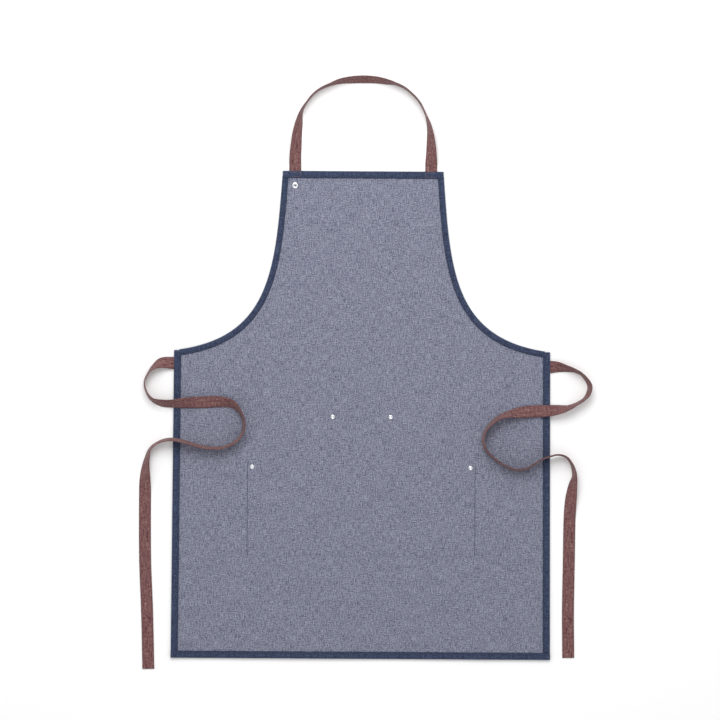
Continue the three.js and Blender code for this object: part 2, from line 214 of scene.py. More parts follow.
patterns = [
    (speckle, 1.15), (warp_slub, 0.62), (weft_slub, 0.48), (mottle, 0.10), (diagonal, 0.16),
]
mix = None
for pattern, weight in patterns:
    mix = weighted(twill, pattern, weight, mix)
mix_mean = sum(weight for _, weight in patterns) / 2
centred = add_node(twill, "ShaderNodeMath", {"operation": "SUBTRACT"}, _0=mix, _1=mix_mean).outputs[0]
spread = add_node(
    twill, "ShaderNodeMath", {"operation": "MULTIPLY"}, _0=centred, _1=twill_in.outputs["Contrast"]
).outputs[0]
share = add_node(
    twill, "ShaderNodeMath", {"operation": "ADD", "use_clamp": True},
    _0=spread, _1=twill_in.outputs["Amount"],
).outputs[0]
blended = add_node(
    twill, "ShaderNodeMix", {"data_type": "RGBA"},
    _0=share, _6=twill_in.outputs["Ground"], _7=twill_in.outputs["Fleck"],
).outputs[2]
relief = weighted(twill, diagonal, 0.5, weighted(twill, speckle, 0.5))
twill.links.new(blended, twill_out.inputs["Color"])
twill.links.new(relief, twill_out.inputs["Height"])
print("denim weave has", len(twill.nodes), "nodes")

# %% [markdown]
# ## Denim, and where it is worn
#
# A worn place is a ridge that has rubbed against things: a fold, or the top of a pucker beside a
# stitch. Each sewn piece keeps a number called wear at its points, from 0 in a hollow to 1 on a
# ridge. Reading that is steadier than guessing edges in the shader.

# %% Cloth materials


def base_material(name, roughness, **constants):
    """A material with its Principled shader, its plain sheen and gloss set on the shader itself."""
    material = bpy.data.materials.new(name)
    material.use_nodes = True
    shader = material.node_tree.nodes["Principled BSDF"]
    shader.inputs["Roughness"].default_value = roughness
    for label, value in constants.items():
        shader.inputs[label.replace("_", " ")].default_value = value
    return material, material.node_tree, shader


def denim(name, ground, fleck, worn, amount, contrast, bump):
    """One side of the denim. amount is the mean share of fleck, and contrast spreads it."""
    material, tree, shader = base_material(name, 0.92, Sheen_Weight=0.12, Specular_IOR_Level=0.2)
    flat = add_node(tree, "ShaderNodeUVMap", {"uv_map": "cloth"}).outputs[0]
    weave = tree.nodes.new("ShaderNodeGroup")
    weave.node_tree = twill
    tree.links.new(flat, weave.inputs["Cloth"])
    weave.inputs["Ground"].default_value = linear(*ground)
    weave.inputs["Fleck"].default_value = linear(*fleck)
    weave.inputs["Amount"].default_value = amount
    weave.inputs["Contrast"].default_value = contrast
    rubbed = add_node(tree, "ShaderNodeAttribute", {"attribute_name": "wear"}).outputs["Fac"]
    patchy = stretched_noise(tree, flat, (1, 1, 1), 240, 3.0)
    rub = add_node(tree, "ShaderNodeMath", {"operation": "MULTIPLY"}, _0=rubbed, _1=patchy).outputs[0]
    tinted = add_node(
        tree, "ShaderNodeMix", {"data_type": "RGBA"},
        _0=rub, _6=weave.outputs["Color"], _7=linear(*worn),
    ).outputs[2]
    bumped = add_node(
        tree, "ShaderNodeBump", Height=weave.outputs["Height"], Strength=bump, Distance=0.0004,
    ).outputs[0]
    tree.links.new(tinted, shader.inputs["Base Color"])
    tree.links.new(bumped, shader.inputs["Normal"])
    return material


denim_back = denim(
    "denim_wrong_side", ground=(61, 64, 88), fleck=(168, 171, 187), worn=(172, 174, 185),
    amount=0.43, contrast=1.46, bump=0.7,
)
denim_front = denim(
    "denim_right_side", ground=(22, 30, 52), fleck=(86, 98, 129), worn=(98, 112, 142),
    amount=0.28, contrast=1.2, bump=0.6,
)
print("made", denim_back.name, "and", denim_front.name)

# %% [markdown]
# ## Cotton tape and sewing thread
#
# The tape is woven with threads that run lengthwise, and it has a firm, darker selvedge on each
# side. Brown, pink and greenish yarns give it faint lengthwise streaks.

# %% Tape and thread materials
TAPE_WIDTH = 0.022
CROSS_BANDS = 0.314
CROSS_PITCH = 0.0012
SELVEDGE_DARK = 0.14


def cotton_tape():
    """Heathered cotton tape, a little darker along its two selvedges."""
    material, tree, shader = base_material(
        "cotton_tape", 0.9, Sheen_Weight=0.15, Specular_IOR_Level=0.2
    )
    flat = add_node(tree, "ShaderNodeUVMap", {"uv_map": "cloth"}).outputs[0]
    lengthwise = stretched_noise(tree, flat, (1, 0.05, 1), 900, 2.0)
    blotch = stretched_noise(tree, flat, (1, 1, 1), 260, 3.0)
    yarn = weighted(tree, lengthwise, 0.5, weighted(tree, blotch, 0.5))
    ramp = add_node(tree, "ShaderNodeValToRGB", Fac=yarn)
    stops = ramp.color_ramp.elements
    stops[0].position, stops[0].color = 0.37, linear(78, 46, 50)
    stops[1].position, stops[1].color = 0.65, linear(158, 120, 118)
    middle = stops.new(0.5)
    middle.color = linear(118, 79, 82)
    green = stops.new(0.56)
    green.color = linear(118, 90, 82)
    cross = add_node(
        tree, "ShaderNodeTexWave", {"bands_direction": "Y"},
        Vector=flat, Scale=CROSS_BANDS / CROSS_PITCH, Distortion=0.6,
    ).outputs[1]
    across = add_node(tree, "ShaderNodeSeparateXYZ", Vector=flat).outputs[0]
    off_centre = add_node(
        tree, "ShaderNodeMath", {"operation": "SUBTRACT"}, _0=across, _1=TAPE_WIDTH / 2
    ).outputs[0]
    distance = add_node(tree, "ShaderNodeMath", {"operation": "ABSOLUTE"}, _0=off_centre).outputs[0]
    selvedge = add_node(
        tree, "ShaderNodeMapRange", {"interpolation_type": "SMOOTHSTEP"},
        Value=distance, From_Min=TAPE_WIDTH * 0.36, From_Max=TAPE_WIDTH * 0.47,
        To_Min=0.0, To_Max=SELVEDGE_DARK,
    ).outputs[0]
    tinted = add_node(
        tree, "ShaderNodeMix", {"data_type": "RGBA"},
        _0=selvedge, _6=ramp.outputs[0], _7=linear(62, 38, 42),
    ).outputs[2]
    height = weighted(tree, cross, 0.5, weighted(tree, yarn, 0.8))
    bumped = add_node(tree, "ShaderNodeBump", Height=height, Strength=0.55, Distance=0.0004).outputs[0]
    tree.links.new(tinted, shader.inputs["Base Color"])
    tree.links.new(bumped, shader.inputs["Normal"])
    return material


def sewing_thread(name, dark, light):
    """Twisted thread, between two colours."""
    material, tree, shader = base_material(name, 0.6, Sheen_Weight=0.1)
    place = add_node(tree, "ShaderNodeTexCoord").outputs["Object"]
    twist = add_node(tree, "ShaderNodeTexNoise", Vector=place, Scale=1400.0, Detail=1.0).outputs[0]
    colour = add_node(
        tree, "ShaderNodeMix", {"data_type": "RGBA"}, _0=twist, _6=linear(*dark), _7=linear(*light)
    ).outputs[2]
    bumped = add_node(tree, "ShaderNodeBump", Height=twist, Strength=0.4, Distance=0.0001).outputs[0]
    tree.links.new(colour, shader.inputs["Base Color"])
    tree.links.new(bumped, shader.inputs["Normal"])
    return material


tape_finish = cotton_tape()
navy_thread = sewing_thread("navy_thread", (24, 30, 48), (58, 68, 94))
pale_thread = sewing_thread("pale_thread", (92, 97, 118), (140, 144, 160))
brown_thread = sewing_thread("brown_thread", (104, 70, 68), (158, 122, 116))
print("made", tape_finish.name, "and threads", [navy_thread.name, pale_thread.name, brown_thread.name])

# %% [markdown]
# ## Nickel
#
# Rivets and eyelet are stamped sheet metal with a nickel plate. It is bright, a little uneven from
# the press, and faintly scratched.

# %% Nickel material


def plated_nickel():
    """Bright plate with shallow dents and scratches that vary its gloss."""
    material, tree, shader = base_material("nickel_plate", 0.26, Metallic=1.0)
    place = add_node(tree, "ShaderNodeTexCoord").outputs["Object"]
    dents = add_node(tree, "ShaderNodeTexNoise", Vector=place, Scale=420.0, Detail=2.0).outputs[0]
    scratch = stretched_noise(tree, place, (8, 1, 1), 900, 1.0)
    colour = add_node(
        tree, "ShaderNodeMix", {"data_type": "RGBA"},
        _0=dents, _6=linear(232, 233, 236), _7=linear(250, 251, 254),
    ).outputs[2]
    gloss = add_node(
        tree, "ShaderNodeMapRange", Value=scratch, From_Min=0.35, From_Max=0.7, To_Min=0.18, To_Max=0.38
    ).outputs[0]
    bumped = add_node(tree, "ShaderNodeBump", Height=dents, Strength=0.25, Distance=0.0002).outputs[0]
    tree.links.new(colour, shader.inputs["Base Color"])
    tree.links.new(gloss, shader.inputs["Roughness"])
    tree.links.new(bumped, shader.inputs["Normal"])
    return material


nickel = plated_nickel()
print("made", nickel.name)

# %% [markdown]
# ## How the cloth lies
#
# Washed denim never lies dead flat. Its relief is one smooth, fixed height field that is added to
# the body and to everything sewn on it, so that the layers rise together. It fades out at the bib's
# top, where the neck loop folds, and outside the body, where a tape lies on the table.

# %% Relief of the cloth
_, top_high = (Vector(c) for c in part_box("top_binding"))
hem_low, hem_high = (Vector(c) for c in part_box("bottom_binding"))
TOP_Y = top_high.y
HEM_Y = hem_low.y
BIB_HALF = top_high.x
HEM_HALF = hem_high.x
BIB_DROP = 0.332
WAIST_Y = TOP_Y - BIB_DROP
WAIST_HALF = 0.347
RELIEF = 0.0016
EDGE_FADE = 0.03
TOP_FADE = 0.06


def side_at(y):
    """Half the body's width at a height, along the straight side seam."""
    return WAIST_HALF + (HEM_HALF - WAIST_HALF) * (WAIST_Y - y) / (WAIST_Y - HEM_Y)


def eased(value, low, high):
    """0 up to low, 1 from high on, and smooth between them."""
    share = min(max((value - low) / (high - low), 0), 1)
    return share * share * (3 - 2 * share)


def lie(x, y):
    """How far the cloth stands off its flat place."""
    wide = noise.noise(Vector((x * 5, y * 4, 0.3)))
    fine = noise.noise(Vector((x * 17, y * 13, 4.7)))
    height = RELIEF * (0.5 + 0.7 * wide + 0.3 * fine)
    near_top = eased(TOP_Y - y, 0.0, TOP_FADE)
    outside = eased(abs(x) - side_at(y), -0.002, EDGE_FADE)
    return max(height, 0) * near_top * (1 - outside)


print("body from", round(HEM_Y, 4), "to", round(TOP_Y, 4))

# %% [markdown]
# ## One way to make any sewn piece
#
# Body, bindings, pocket and tapes are all strips or sheets of cloth. Each starts as a grid, whose
# points are moved to their places, and keeps its flat coordinates in metres as its UV map. It gets
# its thickness last. Starting from the flat cut keeps the weave true on curves and folds.

# %% Cloth pieces


def finished(name, bm, materials):
    """A smooth object in the scene, made from a bmesh that is then freed."""
    mesh = bpy.data.meshes.new(name)
    bm.to_mesh(mesh)
    bm.free()
    for material in materials:
        mesh.materials.append(material)
    mesh.shade_smooth()
    piece = bpy.data.objects.new(name, mesh)
    scene.collection.objects.link(piece)
    return piece


def woven(name, columns, rows, place, thickness, materials):
    """A sheet of cloth. place turns (across, along) shares into a point, flat (u, v), and wear."""
    bm = bmesh.new()
    bmesh.ops.create_grid(bm, x_segments=columns, y_segments=rows, size=0.5)
    flat = bm.loops.layers.uv.new("cloth")
    wear = bm.verts.layers.float.new("wear")
    spots = {}
    for vert in bm.verts:
        vert.co, spots[vert], vert[wear] = place(vert.co.x + 0.5, vert.co.y + 0.5)
    for face in bm.faces:
        for loop in face.loops:
            loop[flat].uv = spots[loop.vert]
    piece = finished(name + "_cut", bm, materials)
    solid = piece.modifiers.new("thickness", "SOLIDIFY")
    solid.thickness = thickness
    solid.offset = 0
    solid.use_even_offset = False
    if len(materials) > 1:
        solid.material_offset = 1
    bpy.context.view_layer.update()
    depsgraph = bpy.context.evaluated_depsgraph_get()
    thick = bpy.data.meshes.new_from_object(piece.evaluated_get(depsgraph))
    cut = piece.data
    bpy.data.objects.remove(piece)
    bpy.data.meshes.remove(cut)
    bm = bmesh.new()
    bm.from_mesh(thick)
    bpy.data.meshes.remove(thick)
    if bm.calc_volume(signed=True) < 0:
        bmesh.ops.reverse_faces(bm, faces=bm.faces)
    made = finished(name, bm, materials)
    print(name, len(made.data.polygons), "faces")
    return made


# %% [markdown]
# ## The tapes
#
# Each tape is one length of cotton that lies in loose curves, on edge where it turns and flat where
# it runs straight. Its route is a list of points: x, y, the height of the tape's lower
# edge, and its tilt in degrees, where 0 lies flat and 90 stands on edge. A list of points can be
# read and changed one by one, which a formula for such loose curves could not.

# %% Routes of the tapes
NECK_ROUTE = [
    (-0.1255, 0.3625, 0.00065, 0),
    (-0.1255, 0.372, 0.00065, 0),
    (-0.1255, 0.387, 0.00065, 15),
    (-0.124, 0.41, 0, 27),
    (-0.122, 0.432, 0, 41),
    (-0.119, 0.45, 0, 54),
    (-0.116, 0.466, 0, 73),
    (-0.112, 0.477, 0, 83),
    (-0.105, 0.488, 0, 87),
    (-0.094, 0.502, 0, 87),
    (-0.08, 0.513, 0, 86),
    (-0.062, 0.521, 0, 82),
    (-0.044, 0.527, 0, 70),
    (-0.022, 0.53, 0, 60),
    (0, 0.531, 0, 56),
    (0.023, 0.53, 0, 61),
    (0.041, 0.527, 0, 68),
    (0.059, 0.523, 0, 83),
    (0.075, 0.516, 0, 86),
    (0.09, 0.504, 0, 87),
    (0.104, 0.488, 0, 87),
    (0.115, 0.465, 0, 86),
    (0.12, 0.45, 0, 74),
    (0.123, 0.434, 0, 62),
    (0.125, 0.411, 0, 43),
    (0.1255, 0.389, 0.00065, 27),
    (0.1255, 0.372, 0.00065, 0),
    (0.1255, 0.3625, 0.00065, 0),
]
LEFT_TIE_ROUTE = [
    (-0.34743, 0.006, 0.00065, 0),
    (-0.37, 0.006, 0.00065, 31),
    (-0.382, 0, 0.0002, 63),
    (-0.393, -0.011, 0, 80),
    (-0.401, -0.029, 0, 83),
    (-0.397, -0.048, 0, 80),
    (-0.386, -0.062, 0.0005, 73),
    (-0.369, -0.068, 0.003, 54),
    (-0.349, -0.069, 0.0046, 48),
    (-0.323, -0.067, 0.0046, 29),
    (-0.291, -0.066, 0.0028, 10),
    (-0.26, -0.065, 0.0028, 24),
    (-0.239, -0.069, 0.0028, 48),
    (-0.225, -0.082, 0.0028, 71),
    (-0.217, -0.102, 0.0028, 76),
    (-0.22, -0.123, 0.0028, 76),
    (-0.232, -0.138, 0.0028, 78),
    (-0.252, -0.148, 0.0028, 78),
    (-0.278, -0.15, 0.0028, 78),
    (-0.306, -0.145, 0.0036, 76),
    (-0.333, -0.137, 0.0046, 76),
    (-0.356, -0.135, 0.0046, 76),
    (-0.376, -0.141, 0.0016, 80),
    (-0.39, -0.153, 0.0002, 78),
    (-0.395, -0.17, 0, 63),
    (-0.398, -0.189, 0, 45),
    (-0.399, -0.209, 0, 24),
    (-0.399, -0.235, 0, 0),
    (-0.399, -0.287, 0, 0),
    (-0.398, -0.361, 0, 0),
    (-0.394, -0.453, 0, 0),
    (-0.391, -0.559, 0, 0),
]
RIGHT_TIE_ROUTE = [
    (0.34744, 0.003, 0.00065, 0),
    (0.36, 0.003, 0.00065, 30),
    (0.377, 0, 0.0002, 58),
    (0.393, -0.004, 0, 74),
    (0.406, -0.011, 0, 80),
    (0.42, -0.031, 0, 71),
    (0.418, -0.045, 0, 71),
    (0.41, -0.056, 0, 80),
    (0.396, -0.065, 0.0003, 78),
    (0.381, -0.072, 0.0016, 67),
    (0.361, -0.076, 0.004, 38),
    (0.342, -0.078, 0.0046, 15),
    (0.319, -0.079, 0.0046, 0),
    (0.295, -0.081, 0.003, 21),
    (0.273, -0.084, 0.0028, 57),
    (0.253, -0.091, 0.0028, 71),
    (0.236, -0.105, 0.0028, 78),
    (0.226, -0.12, 0.0028, 80),
    (0.224, -0.136, 0.0028, 81),
    (0.23, -0.152, 0.0028, 81),
    (0.245, -0.167, 0.0028, 81),
    (0.263, -0.179, 0.0028, 81),
    (0.283, -0.187, 0.0028, 80),
    (0.302, -0.186, 0.0032, 78),
    (0.318, -0.177, 0.004, 80),
    (0.334, -0.167, 0.0046, 81),
    (0.348, -0.162, 0.0046, 81),
    (0.363, -0.159, 0.0028, 82),
    (0.377, -0.163, 0.0008, 82),
    (0.386, -0.173, 0.0001, 82),
    (0.391, -0.185, 0, 76),
    (0.393, -0.199, 0, 70),
    (0.39, -0.216, 0, 48),
    (0.387, -0.241, 0, 22),
    (0.385, -0.275, 0, 0),
    (0.384, -0.356, 0, 0),
    (0.383, -0.449, 0, 0),
    (0.384, -0.534, 0, 0),
]
print("route points", len(NECK_ROUTE), len(LEFT_TIE_ROUTE), len(RIGHT_TIE_ROUTE))

# %% [markdown]
# ## The sweep of a tape
#
# A tape is swept along a smooth line through its route's points, which is a Catmull-Rom curve whose
# pace follows the gaps, so it doesn't loop where points crowd. A curve object with a bevel would do,
# but it would lose the cloth coordinates. Each sewn end runs on a little way inside its binding.

# %% A tape swept along its route
TAPE_THICK = 0.0011
TAPE_ROOM = 0.0012
TAPE_STEP = 0.002
TAPE_TUCK = 0.0105
TAPE_COLUMNS = 8
TAPE_EASE = 0.995
TAPE_CROWN = 0.00025
CROWN_WAVE = 30
ROUTE_STEPS = 40
TUCK_SHARES = (0.33, 0.66, 1)


def smooth_line(route, steps):
    """A line through the route's points, with (point, tilt) at even shares between neighbours."""
    points = [Vector(row[:3]) for row in route]
    ends = [2 * points[0] - points[1], *points, 2 * points[-1] - points[-2]]
    line = []
    for i in range(len(points) - 1):
        before, start, end, after = ends[i:i + 4]
        gaps = [(b - a).length ** 0.5 for a, b in ((before, start), (start, end), (end, after))]
        pull = ((start - before) / gaps[0] - (end - before) / (gaps[0] + gaps[1])
                + (end - start) / gaps[1]) * gaps[1]
        push = ((end - start) / gaps[1] - (after - start) / (gaps[1] + gaps[2])
                + (after - end) / gaps[2]) * gaps[1]
        for step in range(steps):
            t = step / steps
            spot = (start * (2 * t ** 3 - 3 * t ** 2 + 1) + pull * (t ** 3 - 2 * t ** 2 + t)
                    + end * (3 * t ** 2 - 2 * t ** 3) + push * (t ** 3 - t ** 2))
            line.append((spot, route[i][3] + (route[i + 1][3] - route[i][3]) * t))
    return [*line, (points[-1], route[-1][3])]


def tape_line(route, root_way, both_ends):
    """The route as even steps, run on into the binding at its root, or at both its ends."""
    line = [(Vector((p.x, p.y, max(p.z, 0))), tilt) for p, tilt in smooth_line(route, ROUTE_STEPS)]
    first, last = line[0][0], line[-1][0]
    tuck = Vector(root_way) * TAPE_TUCK
    line = [(first + tuck * share, 0) for share in reversed(TUCK_SHARES)] + line
    if both_ends:
        line += [(last + tuck * share, 0) for share in TUCK_SHARES]
    lengths = [0.0]
    for (a, _), (b, _) in zip(line, line[1:]):
        lengths.append(lengths[-1] + (b - a).length)
    count = round(lengths[-1] / TAPE_STEP)
    even = []
    at = 0
    for i in range(count + 1):
        want = lengths[-1] * i / count
        while at < len(lengths) - 2 and lengths[at + 1] < want:
            at += 1
        share = (want - lengths[at]) / (lengths[at + 1] - lengths[at])
        (a, tilt_a), (b, tilt_b) = line[at], line[at + 1]
        even.append((a.lerp(b, share), tilt_a + (tilt_b - tilt_a) * share, want))
    return even


def tape(name, route, root_way, both_ends=False):
    """A woven tape on its route. It also gives the middle line that it follows."""
    even = tape_line(route, root_way, both_ends)
    sections = []
    for i, (spot, tilt, run) in enumerate(even):
        ahead = even[min(i + 1, len(even) - 1)][0] - even[max(i - 1, 0)][0]
        left = Vector((-ahead.y, ahead.x, 0)).normalized()
        lean = math.radians(tilt)
        across = left * math.cos(lean) + Vector((0, 0, math.sin(lean)))
        lift = TAPE_WIDTH / 2 * math.sin(lean) + TAPE_ROOM / 2 * math.cos(lean)
        middle = spot + Vector((0, 0, lift + lie(spot.x, spot.y)))
        through = left * -math.sin(lean) + Vector((0, 0, math.cos(lean)))
        sections.append((middle, across, through, run))

    def place(u, v):
        middle, across, through, run = sections[round(v * (len(sections) - 1))]
        ripple = noise.noise(Vector((run * CROWN_WAVE, 1.3, u)))
        crown = TAPE_CROWN * math.cos(math.pi * (u - 0.5)) * ripple
        point = middle + across * TAPE_WIDTH * (0.5 - u) * TAPE_EASE + through * crown
        return point, (u * TAPE_WIDTH, run), 0.0

    piece = woven(name, TAPE_COLUMNS, len(sections) - 1, place, TAPE_THICK, [tape_finish])
    return piece, [tuple(section[0]) for section in sections], sections[-1][3]


neck_strap, neck_path, neck_length = tape("neck_strap_tape", NECK_ROUTE, (0, -1, 0), both_ends=True)
left_tie, left_path, left_length = tape("left_waist_tie_tape", LEFT_TIE_ROUTE, (1, 0, 0))
right_tie, right_path, right_length = tape("right_waist_tie_tape", RIGHT_TIE_ROUTE, (-1, 0, 0))
print("lengths", round(neck_length, 3), round(left_length, 3), round(right_length, 3))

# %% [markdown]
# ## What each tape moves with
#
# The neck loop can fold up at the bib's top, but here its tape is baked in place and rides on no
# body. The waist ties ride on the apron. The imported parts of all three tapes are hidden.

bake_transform(neck_strap)
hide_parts("neck_strap", "neck_strap_left_end", "neck_strap_right_end")
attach(left_tie, "apron")
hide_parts("left_waist_tie", "left_tie_end")
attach(right_tie, "apron")
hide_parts("right_waist_tie", "right_tie_end")

# %% [markdown]
# ## The body
#
# The body is one cut of denim, wrong side up. Its armholes are long hollow curves that end almost
# level at the waist corners. The grid's rows follow that curve, so they crowd together where the
# curve is level. Its edge ends inside the folds of the bindings.

# %% The body's outline
CLOTH = 0.0008
CLOTH_MIDDLE = 0.0021
PANEL_INSET = 0.0021
ARMHOLE_START = Vector((0.0125, -0.187, 0))
ARMHOLE_END = Vector((-0.177, 0.022, 0))
ARMHOLE_POINTS = 90
ARMHOLE_FINE = 700
ROW_STEP = 0.005
BODY_COLUMNS = 140


def armhole(inset, count=ARMHOLE_POINTS):
    """The right armhole's edge from the bib's top to the waist corner, moved into the cloth."""
    top = Vector((BIB_HALF, TOP_Y, 0))
    corner = Vector((WAIST_HALF, WAIST_Y, 0))
    curve = interpolate_bezier(top, top + ARMHOLE_START, corner + ARMHOLE_END, corner, count)
    moved = []
    for i, point in enumerate(curve):
        along = (curve[min(i + 1, len(curve) - 1)] - curve[max(i - 1, 0)]).normalized()
        moved.append(point + Vector((along.y, -along.x, 0)) * inset)
    return moved


def body_rows():
    """(y, half width) of each row of the body, from the hem up."""
    curved = [
        (p.y, p.x) for p in armhole(PANEL_INSET)
        if p.y < TOP_Y - PANEL_INSET and p.x < side_at(p.y) - PANEL_INSET
    ]
    waist = curved[-1][0]
    low = HEM_Y + PANEL_INSET
    count = round((waist - low) / ROW_STEP)
    straight = [low + (waist - low) * i / count for i in range(count)]
    sides_with_groove_shade = [(y, side_at(y) - PANEL_INSET) for y in straight]
    return [*sides_with_groove_shade, *reversed(curved), (TOP_Y - PANEL_INSET, BIB_HALF - PANEL_INSET)]


rows = body_rows()


def panel_place(u, v):
    """A point of the body, on the row nearest to v."""
    y, half = rows[round(v * (len(rows) - 1))]
    x = (2 * u - 1) * half
    return Vector((x, y, CLOTH_MIDDLE + lie(x, y))), (x, y), 0.0


main_panel = woven(
    "denim_body", BODY_COLUMNS, len(rows) - 1, panel_place, CLOTH, [denim_back, denim_front]
)
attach(main_panel, "apron")
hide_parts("main_panel")

# %% [markdown]
# ## The bindings
#
# A binding is a strip of denim folded over the raw edge, with its own raw edges turned in, and sewn
# through with one row of stitches. The stitches pull hollows into it and leave puckers between
# them, which wear pale. Its section is a flattened U, and it is swept along the edge.

# %% Section and sweep of a binding
BINDING_CLOTH = 0.0007
STITCH_IN = 0.0022
PUCKER_PITCH = 0.009
SECTION_WIDTH = 0.013
SEAM_REACH = 0.0014
SECTION = [
    (-0.0017, 0.0012), (-0.0006, 0.00118), (0, 0.0008), (-0.0006, 0.00037), (-0.0015, 0.00036),
    (-0.0022, 0.0004), (-0.0035, 0.00036), (-0.006, 0.00036), (-0.0095, 0.00036), (-0.0112, 0.0004),
    (-0.0124, 0.0008), (-0.01265, 0.0021), (-0.0124, 0.0034), (-0.0112, 0.00378),
    (-0.0095, 0.00385), (-0.0075, 0.00385), (-0.0055, 0.00385), (-0.0038, 0.00385),
    (-0.0028, 0.00383), (-0.0022, 0.00378), (-0.0015, 0.0038), (-0.0006, 0.0038), (0, 0.0034),
    (-0.0006, 0.00302), (-0.003, 0.003), (-0.007, 0.003),
]
UPPER_TOP = 13
LINE_STEP = 0.002


def edge_line(points):
    """A flat line as even steps: (point, inward way, run). Inward is to the left of the way along."""
    lengths = [0.0]
    for a, b in zip(points, points[1:]):
        lengths.append(lengths[-1] + (b - a).length)
    count = max(2, round(lengths[-1] / LINE_STEP))
    line = []
    at = 0
    for i in range(count + 1):
        want = lengths[-1] * i / count
        while at < len(lengths) - 2 and lengths[at + 1] < want:
            at += 1
        a, b = points[at], points[at + 1]
        along = (b - a).normalized()
        spot = a.lerp(b, (want - lengths[at]) / (b - a).length)
        line.append((spot, Vector((-along.y, along.x, 0)), want))
    return line


print("a binding's section has", len(SECTION), "points")

# %% [markdown]
# ## Ends that cover and ends that are tucked
#
# Where two bindings meet, one is sewn first and the other folds over its end. The covered end is
# pressed thinner, and the covering one stands a little higher there. Both fade in along the strip,
# so no step shows. Small hollows, a wavering edge and wear on the ridges come from smooth noise.

# %% A folded strip
TUCK = 0.004
COVER_RAISE = 0.0009
COVER_FROM, COVER_TO = 0.011, 0.017
TUCK_SQUEEZE = 0.42
TUCK_FROM, TUCK_TO = 0.004, 0.010
PUCKER_WANDER = 2.2
PUCKER_WAVE = 31
RIDGE_AT = 0.42
RIDGE_LOW = 0.00010
RIDGE_PUCKER = 0.00018
RAGGED = 0.00035
RAGGED_WAVE = 60
FOLD_FROM, FOLD_TO = 0.0004, 0.0026
PUCKER_WEAR = 0.35
FOLD_WEAR = 0.40


def near_end(run, total, ends, low, high):
    """1 at the ends that are named, and 0 further in."""
    found = 0.0
    if "start" in ends:
        found = max(found, 1 - eased(run, low, high))
    if "end" in ends:
        found = max(found, 1 - eased(total - run, low, high))
    return found


def binding(name, points, width, seed, covers=(), tucked=()):
    """A folded strip on an edge. Its covers ends lie over a neighbour, its tucked ends under one."""
    line = edge_line(points)
    total = line[-1][2]

    def depth(deep):
        """How deep in from the edge a point of the section falls on a strip of this width."""
        at_the_seam = deep > -STITCH_IN - SEAM_REACH
        return width + deep if at_the_seam else (deep + SECTION_WIDTH) * width / SECTION_WIDTH

    def raised_at(run):
        """How much higher the strip stands where it covers a neighbour."""
        return COVER_RAISE * near_end(run, total, covers, COVER_FROM, COVER_TO)

    path = [0.0]
    for a, b in zip(SECTION, SECTION[1:]):
        path.append(path[-1] + math.hypot(depth(b[0]) - depth(a[0]), b[1] - a[1]))

    def place(u, v):
        index = round(u * (len(SECTION) - 1))
        spot, inward, run = line[round(v * (len(line) - 1))]
        deep, height = depth(SECTION[index][0]), SECTION[index][1]
        upper = index >= UPPER_TOP
        wander = PUCKER_WANDER * noise.noise(Vector((run * PUCKER_WAVE, seed, 0)))
        pucker = 0.5 + 0.5 * math.sin(2 * math.pi * (run / PUCKER_PITCH + wander))
        ridge = max(1 - abs(deep / width - RIDGE_AT) / RIDGE_AT, 0)
        pressed = 1 - TUCK_SQUEEZE * near_end(run, total, tucked, TUCK_FROM, TUCK_TO)
        height = CLOTH_MIDDLE + (height - CLOTH_MIDDLE) * pressed
        if upper:
            height += ridge * (RIDGE_LOW + RIDGE_PUCKER * pucker) + raised_at(run)
        ragged = RAGGED * noise.noise(Vector((run * RAGGED_WAVE, seed, 2.0)))
        point = spot + inward * (deep + (ragged if deep > width / 2 else 0))
        point.z = height + lie(point.x, point.y)
        fold = 1 - eased(deep, FOLD_FROM, FOLD_TO)
        wear = max(PUCKER_WEAR * pucker * ridge, FOLD_WEAR * fold) if upper or fold > 0 else 0.0
        return point, (path[index], run), wear

    piece = woven(name, len(SECTION) - 1, len(line) - 1, place, BINDING_CLOTH, [denim_front])
    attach(piece, "apron")
    return piece, line, raised_at


# %% [markdown]
# ## Six edges, six strips
#
# The top and hem strips run the full width and cover the ends of the others. The side strips cover
# the armholes' lower ends at the waist corners. Each edge is a line with the cloth on its left, so
# one function serves all six, and a left strip is the mirrored line of the right one.

# %% The six bindings
EDGE_WIDTH = 0.013
ARMHOLE_WIDTH = 0.011
COVERED = EDGE_WIDTH - TUCK


def mirrored(points):
    """A line on the other side of the apron, with the cloth still on its left."""
    return [Vector((-p.x, p.y, 0)) for p in reversed(points)]


def flat_point(x, y):
    return Vector((x, y, 0))


top_edge = [flat_point(BIB_HALF, TOP_Y), flat_point(-BIB_HALF, TOP_Y)]
hem_edge = [flat_point(-HEM_HALF, HEM_Y), flat_point(HEM_HALF, HEM_Y)]
right_side_edge = [
    flat_point(side_at(HEM_Y + COVERED), HEM_Y + COVERED),
    flat_point(side_at(WAIST_Y), WAIST_Y),
]
right_armhole_edge = [
    p for p in reversed(armhole(0.0, ARMHOLE_FINE))
    if p.y < TOP_Y - COVERED and p.x < side_at(p.y) - COVERED
]
sewn = {}
both = ("start", "end")
HIDDEN_SEAM = TUCK + 0.001
for name, edge, width, covers, tucked in [
    ("top_binding", top_edge, EDGE_WIDTH, both, ()),
    ("bottom_binding", hem_edge, EDGE_WIDTH, both, ()),
    ("right_side_binding", right_side_edge, EDGE_WIDTH, ("end",), ("start",)),
    ("left_side_binding", mirrored(right_side_edge), EDGE_WIDTH, ("start",), ("end",)),
    ("right_armhole_binding", right_armhole_edge, ARMHOLE_WIDTH, (), both),
    ("left_armhole_binding", mirrored(right_armhole_edge), ARMHOLE_WIDTH, (), both),
]:
    piece, line, raised_at = binding("denim_" + name, edge, width, len(sewn) + 1.0, covers, tucked)
    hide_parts(name)
    sewn[name] = (line, width, raised_at, HIDDEN_SEAM if tucked else 0)
print(len(sewn), "bindings")

